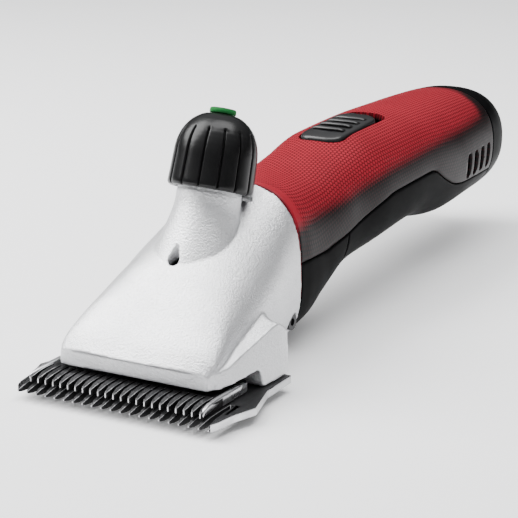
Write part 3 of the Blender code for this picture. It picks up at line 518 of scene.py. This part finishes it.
LOOKS = {
    "cast_aluminium": CAST, "ground_steel": BRIGHT_STEEL, "blackened_steel": SCREW_STEEL,
    "machined_steel": TURNED_STEEL, "brass": BRASS, "black_plastic": BLACK, "red_plastic": RED,
    "green_plastic": GREEN, "black_rubber": RUBBER, "grey_plastic": GREY, "circuit_green": BOARD,
    "cell_wrap": WRAP, "filter_foam": FOAM,
}
for part in frame["record"]["subparts"]:
    node = frame["nodes"][part["node"]]
    for place in node.material_slots:
        place.material = LOOKS[part["material_slot"]]


def stands_for(obj, body, node):
    """Rides a visual piece on its body, in place of the CAD node."""
    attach(obj, body)
    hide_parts(node)


# ---------------------------------------------------------------- head casting


def oil_hole_outline():
    """Drop with its point towards the rear."""
    outline = [(0.0, 5.2)]
    for step in range(25):
        angle = math.radians(20 - 220 * step / 24)
        outline.append((1.9 * math.cos(angle), 1.9 * math.sin(angle)))
    return outline


def head_casting():
    """Dome, skirt and threaded neck in one casting, hollowed out for the drive."""
    dome = loft("head_skin", [head_ring(y) for y in np.arange(-20.5, 46.01, 1.75)], CAST)
    skirt = loft("skirt", [skirt_ring(y) for y in (*np.arange(-20.5, 18.3, 1.0), 18.3)])
    barrel = on_knob(turned("barrel", (
        (0, -24), (15.5, -24), (14.4, -20.5), (13.3, -17), (12.3, -13.8), (11.5, -11), (10.9, -8.4),
        (10.5, -6.4), (BARREL_R, -4.4), (BARREL_R, BARREL_TOP), (0, BARREL_TOP)), segments=90))
    combine(dome, (skirt, barrel), "UNION")
    land = BARREL_R - 0.15
    clearance = on_knob(turned("clearance", (
        (land, -1.0), (14.1, -1.0), (14.5, 0), (15.0, 12), (land, 12), (land, -1.0)), segments=70))
    cavity_rings = [head_ring(y, 3.0 + 3.0 * blend(y, 20, 30), 48) for y in np.linspace(-14.4, 46, 14)]
    cavity = loft("cavity", cavity_rings + [[(x, y + 6, z) for x, y, z in cavity_rings[-1]]])
    well = box("well", (-25.5, -17.0, 1.0), (25.5, 4.6, 11.0))
    bore_profile = ((0, -32), (BARREL_BORE_R, -32), (BARREL_BORE_R, 30), (0, 30))
    bore = on_knob(turned("bore", bore_profile, segments=50))
    corner, rear, top = 1.6, 3.4, 8.4
    outline = [(-40.0, 1.0), (-40.0, 5.6), (-20.5, 6.8), (-14.0, 7.2)]
    for step in range(9):
        angle = math.pi / 2 * (1 - step / 8)
        outline.append((rear - corner + corner * math.cos(angle), top - corner + corner * math.sin(angle)))
    outline.append((rear, 1.0))
    mouth = loft("mouth", [[(x, y, z) for y, z in outline] for x in (-60, 60)])
    rings = [[(x, y * stretch, z) for x, y in oil_hole_outline()] for z, stretch in ((-9, 0.7), (9, 1.0))]
    drop = loft("oil_hole", rings)
    drop.matrix_basis = Matrix.Translation(Vector(OIL_HOLE) * MM) @ Matrix.Rotation(math.radians(20), 4, "X")
    combine(dome, (cavity, clearance, well, bore, mouth, bake(drop)))
    for side in (-1, 1):
        hole_profile = ((0, side * 14), (3.0, side * 14), (3.0, side * 28), (0, side * 28))
        hole = turned("screw_hole", hole_profile, axis="X", segments=40)
        hole.matrix_basis = Matrix.Translation(Vector((0, SIDE_SCREW_Y, SIDE_SCREW_Z)) * MM)
        thread = turned("thread", ((0, 1), (2.6, 1), (2.6, 9), (0, 9)), segments=30)
        thread.matrix_basis = Matrix.Translation(Vector((side * COMB_SCREW_X, COMB_SCREW_Y, 0)) * MM)
        combine(dome, (bake(hole), bake(thread)))
    post = turned("post", ((0, -2), (2.8, -2), (2.8, 9), (0, 9)), segments=30)
    post.matrix_basis = Matrix.Translation((0, PIVOT_Y * MM, 0))
    combine(dome, (bake(post),))
    remesh(dome, 0.4, 3)
    dome.data.materials.clear()
    dome.data.materials.append(CAST)
    return dome


# ---------------------------------------------------------------- blades


def blade_tooth(stations, points, faces, marks):
    """One tooth along y: each station is y, x, half width, bottom, top. Chamfers are marked bright as a
    painted edge highlight.
    """
    start = len(points)
    for y, x, half, bottom, top in stations:
        cut = min(0.09, half * 0.4)
        points += [(x - half, y, bottom), (x + half, y, bottom), (x + half, y, top - cut),
                   (x + half - cut, y, top), (x - half + cut, y, top), (x - half, y, top - cut)]
    for i in range(len(stations) - 1):
        for j in range(6):
            k = (j + 1) % 6
            a, b = start + i * 6, start + (i + 1) * 6
            faces.append((a + j, a + k, b + k, b + j))
            # Chamfer faces take the bright steel: a painted edge highlight.
            marks.append(1 if j in (2, 4) else 0)
    for row in (0, len(stations) - 1):
        faces.append(tuple(range(start + row * 6, start + row * 6 + 6)))
        marks.append(1 if row == 0 else 0)


def toothed(name, teeth, body, low, high):
    """Teeth and the plate behind them in one piece, blackened on top and ground on the edges; the dark top is
    partly painted shade and the bright edges partly a painted highlight.
    """
    points, faces, marks = [], [], []
    for stations in teeth:
        blade_tooth(stations, points, faces, marks)
    obj = make(name, points, faces, (DARK_STEEL, BRIGHT_STEEL), False)
    obj.data.polygons.foreach_set("material_index", marks)
    plate = soften(extrusion(name + "_plate", body, low, high, (DARK_STEEL, BRIGHT_STEEL)), 0.25, 2, 25)
    # Side faces take the bright steel and the top the dark steel: partly ground and blackened steel, partly
    # painted light and shade.
    for face in plate.data.polygons:
        face.material_index = 1 if abs(face.normal.z) < 0.9 and abs(face.normal.x) > 0.2 else 0
    merge(obj, plate)
    return obj


def merge(obj, *others):
    """Adds the other meshes to obj as they stand."""
    work = bmesh.new()
    work.from_mesh(obj.data)
    for other in others:
        work.from_mesh(other.data)
        bpy.data.objects.remove(other)
    work.to_mesh(obj.data)
    work.free()
    return obj


FINGER_ROOT = ((-0.95, 0.6), (-0.7, 0.0), (0.7, 0.0), (0.95, 0.6))


def comb_blade():
    """Fixed lower blade, with open slots for its two screws."""
    last = (COMB_TEETH - 1) / 2 * COMB_PITCH
    teeth = []
    for i in range(COMB_TEETH):
        x = -last + i * COMB_PITCH
        teeth.append([
            (COMB_TIP_Y, x, 0.16, 0.5, 1.0), (COMB_TIP_Y + 0.5, x, 0.34, 0.3, 1.35),
            (COMB_TIP_Y + 2.2, x, 0.6, 0.05, 1.9),
            (COMB_TIP_Y + 5.2, x, 0.82, 0.0, 2.45), (COMB_TIP_Y + 9, x, 0.88, 0.0, COMB_THICK),
            (COMB_ROOT_Y + 1.0, x, 0.95, 0.0, COMB_THICK),
        ])
    front = []
    for i in range(COMB_TEETH):
        x = -last + i * COMB_PITCH
        front += [(x + across, COMB_ROOT_Y + along) for across, along in FINGER_ROOT]
    right = [
        (last + 0.35, COMB_TIP_Y + 0.4), (last + 1.3, COMB_TIP_Y + 3), (last + 2.4, COMB_TIP_Y + 10),
        (38.5, -11.3), (34.8, 2.3), (34.8, 17.3),
    ]
    slots = []
    for centre in (COMB_SCREW_X, -COMB_SCREW_X):
        slots.append((centre + 2.7, 17.3))
        for step in range(13):
            angle = -math.pi * step / 12
            slots.append((centre + 2.7 * math.cos(angle), 7.0 + 2.7 * math.sin(angle)))
        slots.append((centre - 2.7, 17.3))
    body = front[2:-2] + right + slots + [(-x, y) for x, y in reversed(right)]
    return toothed("comb_blade", teeth, body, 0.0, COMB_THICK)


# y, half width, top
BAR_STATIONS = (
    (-26.4, 0.25, 4.6), (-25.6, 0.55, 5.3), (-23, 0.8, 6.0),
    (-18, 0.95, 6.3), (-6, 0.95, 6.3), (-2.5, 0.9, 5.9),
)


def cutter_blade():
    """Moving upper blade, with a bright bar along each end."""
    last = (CUTTER_TEETH - 1) / 2 * CUTTER_PITCH
    low, high = 2.9, 5.7
    teeth = []
    for i in range(CUTTER_TEETH):
        x = -last + i * CUTTER_PITCH
        teeth.append([
            (CUTTER_TIP_Y, x, 0.2, low, 4.3), (CUTTER_TIP_Y + 0.6, x, 0.5, low, 4.7),
            (CUTTER_TIP_Y + 3, x, 0.82, low, 5.4),
            (CUTTER_TIP_Y + 6, x, 0.9, low, high), (CUTTER_ROOT_Y + 1, x, 0.98, low, high),
        ])
    body = [(-last - 0.85, CUTTER_ROOT_Y), (last + 0.85, CUTTER_ROOT_Y)]
    for side in (1, -1):
        for step in range(9):
            angle = math.pi / 2 * step / 8 + (0 if side > 0 else math.pi / 2)
            x = side * (last + 0.85 - 4.5) + 4.5 * math.cos(angle)
            body.append((x, -3.0 + 4.5 * math.sin(angle)))
    obj = toothed("cutter_blade", teeth, body, low, high)
    for side in (-1, 1):
        rings = []
        for y, half, top in BAR_STATIONS:
            middle = side * (last + 0.95 - half)
            ring = []
            for step in range(12):
                angle = 2 * math.pi * step / 12
                x, z = rounded(angle, half, (top - low - 0.2) / 2, 3.2)
                ring.append((middle + x, y, (top + low + 0.2) / 2 + z))
            rings.append(ring)
        bar = loft("bar", rings, (DARK_STEEL, BRIGHT_STEEL))
        bar.data.polygons.foreach_set("material_index", [1] * len(bar.data.polygons))
        merge(obj, bar)
    rotation = Matrix.Rotation(math.radians(FORK_REST), 4, "Z")
    centre = Matrix.Translation((0, PIVOT_Y * MM, 0))
    obj.matrix_basis = centre @ rotation @ centre.inverted()
    return bake(obj)


# ---------------------------------------------------------------- tension knob and cap


RIB_STEPS = 30


def knob_grip():
    """Domed knob: broad panels parted by narrow grooves that run over the dome."""
    profile = [
        (11.2, 1.0), (11.2, 0.2), (11.9, 0.0), (12.6, 0.05), (13.2, 0.35), (13.55, 0.9), (13.62, 1.6),
        (13.5, 4.0), (13.35, 8.0), (13.2, 12.0), (12.95, 14.0), (12.5, 15.8), (11.9, 17.5), (11.1, 19.0),
        (10.1, 20.4), (9.0, 21.6), (7.7, 22.6), (6.4, 23.4), (5.4, 23.8), (4.6, 24.0), (4.25, 24.05),
        (3.9, 23.8), (3.5, 23.0), (3.4, 15.6),
    ]
    dense = []
    for (r0, h0), (r1, h1) in zip(profile, profile[1:]):
        for step in range(3):
            t = step / 3
            dense.append((r0 + (r1 - r0) * t, h0 + (h1 - h0) * t))
    dense.append(profile[-1])
    segments = KNOB_RIBS * RIB_STEPS
    rings = []
    for radius, height in dense:
        outside = blend(height, -0.1, 0.9) if radius > 11.3 else 0.0
        fade = outside * blend(radius, 4.0, 4.8)
        if height > 23 and radius < 4.3:
            fade = 0.0
        ring = []
        for i in range(segments):
            share = (i / RIB_STEPS) % 1.0
            off = min(share, 1 - share) * 2 * math.pi / KNOB_RIBS * max(radius, 1)
            groove = 0.95 * math.exp(-((off / 0.26) ** 2))
            crown = 0.22 * (2 * abs(share - 0.5)) ** 2.2
            depth = (groove + crown) * fade
            steep = blend(height, 15, 23)
            angle = 2 * math.pi * i / segments
            r = radius - depth * (1 - 0.65 * steep)
            ring.append((r * math.cos(angle), r * math.sin(angle), height - depth * 0.75 * steep))
        rings.append(ring)
    for radius, height in ((3.4, 15.5), (10.9, 15.5), (10.9, 1.0)):
        angles = [2 * math.pi * i / segments for i in range(segments)]
        rings.append([(radius * math.cos(a), radius * math.sin(a), height) for a in angles])
    points, faces = loft_mesh(rings + [rings[0]], closed=False)
    return on_knob(make("knob_grip", points, faces, KNOB_BLACK))


def cap_button():
    """Green cap on its stem, with a darker top."""
    profile = ((0, 13.2), (3.1, 13.2), (3.1, 24.3), (4.0, 24.3), (4.2, 24.5), (4.2, 25.5), (4.1, 25.8),
               (3.85, 26.0), (3.3, 26.05), (3.0, 25.85), (0.02, 25.9))
    top = 25.75
    cap = turned("cap_button", profile, (GREEN, GREEN_TOP), 72)
    for face in cap.data.polygons:
        if face.center.z > top * MM and face.normal.z > 0.7:
            face.material_index = 1
    return on_knob(cap)


# ---------------------------------------------------------------- handle


def shell_angles(y, start, stop, count):
    """Angles from start to stop, with extra ones near both ends for the rounded edge."""
    near = [d / 23.0 for d in (0.0, 0.18, 0.4, 0.75)]
    first = [start + math.copysign(d, stop - start) for d in near]
    final = [stop - math.copysign(d, stop - start) for d in reversed(near)]
    return first + list(np.linspace(first[-1], final[0], count)[1:-1]) + final


EDGE = (ROUNDING, 0.16, 0.04, 0.0)


def shell(name, ys, start_at, stuff, count):
    """A wall along the handle from the angle start_at(y) round to its mirror image, with rounded edges."""
    rings, first, last = [], ys[0], ys[-1]
    for y in ys:
        start = start_at(y)
        stop = (math.pi if start_at is upper_start else -math.pi) - start
        angles = shell_angles(y, start, stop, count)
        end = ROUNDING * max(1 - min(y - first, last - y) / ROUNDING_LENGTH, 0.0) ** 2
        insets = [*EDGE, *([0.0] * (len(angles) - 8)), *reversed(EDGE)]
        outer = [handle_point(y, a, max(i, end)) for a, i in zip(angles, insets)]
        inner = [handle_point(y, a, HANDLE_WALL) for a in np.linspace(stop, start, max(count // 3, 12))]
        rings.append(outer + inner)
    return loft(name, rings, stuff)


def upper_start(y):
    """Angle at which the upper housing begins, on the right."""
    return angle_at_height(y, seam_at(y))


def lower_start(y):
    """Angle at which the lower housing and the battery begin, on the right."""
    return angle_at_height(y, seam_at(y) - HOUSING_GAP)


def along(first, last, step=1.0):
    """Places along the handle, closer together at both rounded ends."""
    middle = list(np.arange(first + 1.2, last - 1.2, step))
    return [first, first + 0.15, first + 0.4, first + 0.8, *middle, last - 0.8, last - 0.4, last - 0.15, last]


def paint_skin(obj):
    """Plan coordinates for the scales, and how red and how scaly each point is; the switch opening's walls
    are painted black as shade.
    """
    mesh = obj.data
    co = np.empty(len(mesh.vertices) * 3)
    mesh.vertices.foreach_get("co", co)
    co = co.reshape(-1, 3) / MM
    plan = np.zeros((len(co), 2))
    ys, zs = zip(*FADE)
    middles = np.interp(co[:, 1], ys, zs)
    seams = np.array([seam_at(y) for y in co[:, 1]])
    shade = np.clip((co[:, 2] - middles) / (2 * FADE_HALF) + 0.5, 0, 1)
    rear = np.clip((206.5 - co[:, 1]) / 7.0, 0, 1)
    shade *= np.clip(rear + np.clip((co[:, 2] - 53.5) / 6, 0, 0.6), 0, 1)
    shade = shade * shade * (3 - 2 * shade)
    scales = np.clip((co[:, 1] - 50.6) / 1.2, 0, 1) * np.clip((208 - co[:, 1]) / 3, 0, 1)
    scales *= np.clip((co[:, 2] - seams - 1.5) / 2, 0, 1) * (0.15 + 0.85 * shade)
    near_switch = (co[:, 1] > 98) & (co[:, 1] < 144) & (np.abs(co[:, 0]) < 10)
    skin_z = np.zeros(len(co))
    for i in np.flatnonzero(near_switch):
        skin_z[i] = handle_top(round(co[i, 1], 2), co[i, 0])
    # Walls of the switch opening, under the skin, are painted black: painted shade in the recess.
    shade[near_switch & (co[:, 2] < skin_z - 0.05)] = 0.0
    for i, (x, y, z) in enumerate(co):
        top, bottom, half, _ = station_at(HANDLE_STATIONS, round(y, 1))
        level = (top + bottom) / 2
        turn = math.atan2((z - level) / ((top - bottom) / 2), x / half)
        plan[i] = (turn * 24.5, y)
    for name, values in (("shade", shade), ("scales", scales)):
        layer = mesh.attributes.new(name, "FLOAT", "POINT")
        layer.data.foreach_set("value", values.astype(np.float32))
    loops = np.empty(len(mesh.loops), np.int32)
    mesh.loops.foreach_get("vertex_index", loops)
    skin = mesh.uv_layers.new(name="skin")
    skin.data.foreach_set("uv", plan[loops].astype(np.float32).ravel())
    return obj


def switch_outline(grow=0.0, back=0.0, steps=10):
    """Outline of the switch, or of a larger opening round it, seen from above."""
    radius = 5.0 + grow
    front, rear = SWITCH_Y[0] - grow, SWITCH_Y[1] + grow + back
    half = SWITCH_HALF_WIDTH + grow
    outline = []
    for side, y, start in ((1, rear, 0), (-1, rear, 90), (-1, front, 180), (1, front, 270)):
        inward = -1 if y == rear else 1
        for step in range(steps):
            angle = math.radians(start + 90 * step / (steps - 1))
            centre_x, centre_y = side * (half - radius), y + inward * radius
            outline.append((centre_x + radius * math.cos(angle), centre_y + radius * math.sin(angle)))
    return outline


def grip_shell():
    """Upper housing, with the switch's opening and the vents."""
    obj = shell("grip_shell", along(HANDLE_FRONT_Y, CAP_Y, 1.25), upper_start, RED, 110)
    cutters = [extrusion("opening", switch_outline(0.7, SWITCH_TRAVEL), 40, 70)]
    for side in (-1, 1):
        low, high = sorted((side * 17, side * 29))
        for i in range(VENT_COUNT):
            cutters.append(vent_cutter(low, high, VENT_FIRST_Y + VENT_PITCH * i))
    combine(obj, cutters)
    return paint_skin(obj)


def vent_cutter(low, high, y):
    """An upright slot with rounded corners, from x = low to x = high."""
    outline = []
    for step in range(20):
        angle = 2 * math.pi * step / 20
        u, v = rounded(angle, 2.2, 4.9, 3.4)
        outline.append((y + u, VENT_Z + v))
    return loft("vent", [[(x, py, z) for py, z in outline] for x in (low, high)])


def rear_cap():
    """Black end cap, rounded into its flat rear face."""
    ys = [CAP_Y, CAP_Y + 0.15, CAP_Y + 0.4, CAP_Y + 0.8, *np.arange(CAP_Y + 1.6, HANDLE_REAR_Y - 6, 1.2)]
    ys += [HANDLE_REAR_Y - d for d in (5.5, 4.6, 3.7, 2.9, 2.2, 1.6, 1.1, 0.7, 0.35, 0.12, 0.0)]
    radius = 5.5
    rings = []
    for y in ys:
        left = HANDLE_REAR_Y - y
        inset = ROUNDING * max(1 - (y - CAP_Y) / ROUNDING_LENGTH, 0.0) ** 2
        if left < radius:
            inset = (radius - math.sqrt(max(radius**2 - (radius - left) ** 2, 0.0))) * 0.75
        rings.append([handle_point(y, 2 * math.pi * i / 140, inset) for i in range(140)])
    for inset in (5.5, 8.0, 11.0, 13.5):
        rings.append([handle_point(HANDLE_REAR_Y, 2 * math.pi * i / 140, inset) for i in range(140)])
    return loft("rear_cap", rings, BLACK)


# How far each ring of the slider stands out from its outline, and above the handle's skin
SLIDER_EDGE = (
    (0, -2.0), (0, -0.2), (-0.12, 0.35), (-0.4, 0.75), (-0.9, 0.98), (-1.6, 1.05), (-3.0, 1.05), (-4.6, 1.05),
)


def switch_slider():
    """Slide with a rounded edge and curved finger ridges."""
    front, rear = SWITCH_Y
    middle = (front + rear) / 2
    rings = []
    for grow, lift in SLIDER_EDGE:
        outline = switch_outline(grow)
        rings.append([(x, y, handle_top(y, x) + lift) for x, y in outline])
    slider = loft("switch_slider", rings, SWITCH_BLACK)
    for i in range(4):
        rows = []
        for step in range(25):
            x = -6.0 + 12.0 * step / 24
            y = front + 8.5 + 5.8 * i - 0.9 * (1 - (x / 6.0) ** 2) + 0.9
            end = math.sqrt(max(1 - (abs(x) / 6.15) ** 6, 0.0))
            z = handle_top(y, x) + 0.9
            row = []
            for k in range(9):
                angle = math.pi * k / 8
                row.append((x, y - 1.25 * math.cos(angle), z + 0.95 * end * math.sin(angle) ** 0.8 - 0.1))
            rows.append(row)
        merge(slider, loft("ridge", rows, SWITCH_BLACK))
    z = handle_top(middle, 0)
    merge(slider, box("stem", (-2.5, middle - 4, z - 9.0), (2.5, middle + 4, z - 1), BLACK))
    return slider


# Place along y, and how far under the handle's front outline
COLLAR_EDGE = ((46.3, 3.2), (46.3, 0.3), (46.36, 0.0), (46.7, -0.2), (47.0, -0.05), (47.1, 0.2), (47.1, 3.2))


def collar_ring():
    """Dark red ring between the head and the handle, standing a little proud."""
    rings = []
    for along_y, inset in COLLAR_EDGE:
        points = [handle_point(HANDLE_FRONT_Y, 2 * math.pi * i / 160, inset) for i in range(160)]
        rings.append([(x, y - HANDLE_FRONT_Y + along_y, z) for x, y, z in points])
    points, faces = loft_mesh(rings + [rings[0]], closed=False)
    return make("collar_ring", points, faces, RUBBER)


def battery_shell():
    """Battery case: the lower black half of the handle, with a wall at each end."""
    first = NECK_END_Y + HOUSING_GAP
    obj = shell("battery_shell", along(first, CAP_Y, 1.25), lower_start, BLACK, 90)
    release = turned("release_hole", ((0, 8), (6.4, 8), (6.4, 22), (0, 22)), segments=60)
    release.matrix_basis = Matrix.Translation((0, RELEASE_Y * MM, 0))
    combine(obj, (bake(release),))
    walls = []
    for low, high in ((first, first + 2), (CAP_Y - 2, CAP_Y)):
        rings = []
        for y in (low, high):
            start = lower_start(y)
            rings.append([handle_point(y, a, 1.0) for a in np.linspace(start, -math.pi - start, 61)])
        walls.append(loft("wall", rings, BLACK, False))
    motor = turned("motor_clearance", ((0, 70), (14, 70), (14, 118), (0, 118)), axis="Y", segments=60)
    motor.matrix_basis = Matrix.Translation((0, 0, MOTOR_Z * MM))
    combine(walls[0], (bake(motor),))
    return merge(obj, *walls)


# ---------------------------------------------------------------- assembly

stands_for(head_casting(), "frame", "head_casting")
stands_for(comb_blade(), "frame", "comb")
stands_for(cutter_blade(), "fork", "cutter")
stands_for(knob_grip(), "knob", "tension_knob")
stands_for(cap_button(), "tension_carriage", "tension_cap")
stands_for(grip_shell(), "frame", "upper_housing")
neck = shell("neck_shell", along(HANDLE_FRONT_Y, NECK_END_Y), lower_start, BLACK, 90)
stands_for(neck, "frame", "lower_housing")
stands_for(battery_shell(), "battery", "battery_case")
stands_for(rear_cap(), "frame", "end_cap")
stands_for(switch_slider(), "switch", "speed_switch")
stands_for(collar_ring(), "frame", "collar_gasket")

# ---------------------------------------------------------------- stage, light and camera

floor_look = Graph("pale_floor")
cloud = floor_look.noise(3.0, 3.0)
floor_tone = floor_look.mix(cloud, (0.93, 0.93, 0.935), (0.96, 0.96, 0.965))
floor_look.done(floor_tone, 0.8, Emission_Color=floor_tone, Emission_Strength=0.16, Specular_IOR_Level=0.1)
floor_corners = [(x * FLOOR_HALF, y * FLOOR_HALF, FLOOR_Z) for x, y in ((-1, -1), (1, -1), (1, 1), (-1, 1))]
floor = make("floor", floor_corners, [(0, 1, 2, 3)], floor_look.material)

# Dark near the horizon and bright overhead, as under a large soft box
world = bpy.data.worlds.new("studio")
world.use_nodes = True
sky, sky_links = world.node_tree.nodes, world.node_tree.links
direction = sky.new("ShaderNodeTexCoord")
height = sky.new("ShaderNodeSeparateXYZ")
glow = sky.new("ShaderNodeMapRange")
for index, value in enumerate((0.2, 0.95, 0.03, 0.95)):
    glow.inputs[index + 1].default_value = value
sky_links.new(direction.outputs["Generated"], height.inputs[0])
sky_links.new(height.outputs[2], glow.inputs[0])
sky_links.new(glow.outputs[0], sky["Background"].inputs[1])
sky["Background"].inputs[0].default_value = (0.97, 0.98, 1.0, 1.0)
bpy.context.scene.world = world


def area_light(name, position, target, size, power):
    """Rectangular lamp, aimed at the target. Lengths in metres, power in watts."""
    data = bpy.data.lights.new(name, "AREA")
    data.shape, data.size, data.size_y, data.energy = "RECTANGLE", size[0], size[1], power
    lamp = bpy.data.objects.new(name, data)
    lamp.location = position
    aim = Vector(target) - Vector(position)
    lamp.rotation_euler = aim.to_track_quat("-Z", "Y").to_euler()
    bpy.context.scene.collection.objects.link(lamp)


area_light("key", (-0.62, -0.12, 0.72), (0, 0.05, 0.03), (0.7, 0.8), 19.0)
area_light("top", (0.12, 0.2, 1.0), (0, 0.1, 0.03), (0.5, 0.9), 11.0)

# Camera in metres, to the right of the blades and a little above them
CAMERA_PLACE = Vector((0.26953, -0.42641, 0.18854))
LENS, SENSOR = 121.5, 36.0
azimuth, elevation = math.radians(29.01), math.radians(16.53)
right = Vector((math.cos(azimuth), math.sin(azimuth), 0.0))
back = Vector((
    math.sin(azimuth) * math.cos(elevation),
    -math.cos(azimuth) * math.cos(elevation),
    math.sin(elevation),
))
up = back.cross(right)
camera = bpy.data.objects.new("camera", bpy.data.cameras.new("camera"))
camera.data.lens, camera.data.sensor_width, camera.data.dof.use_dof = LENS, SENSOR, False
camera.matrix_world = Matrix.Translation(CAMERA_PLACE) @ Matrix((right, up, back)).transposed().to_4x4()
bpy.context.scene.collection.objects.link(camera)
bpy.context.scene.camera = camera
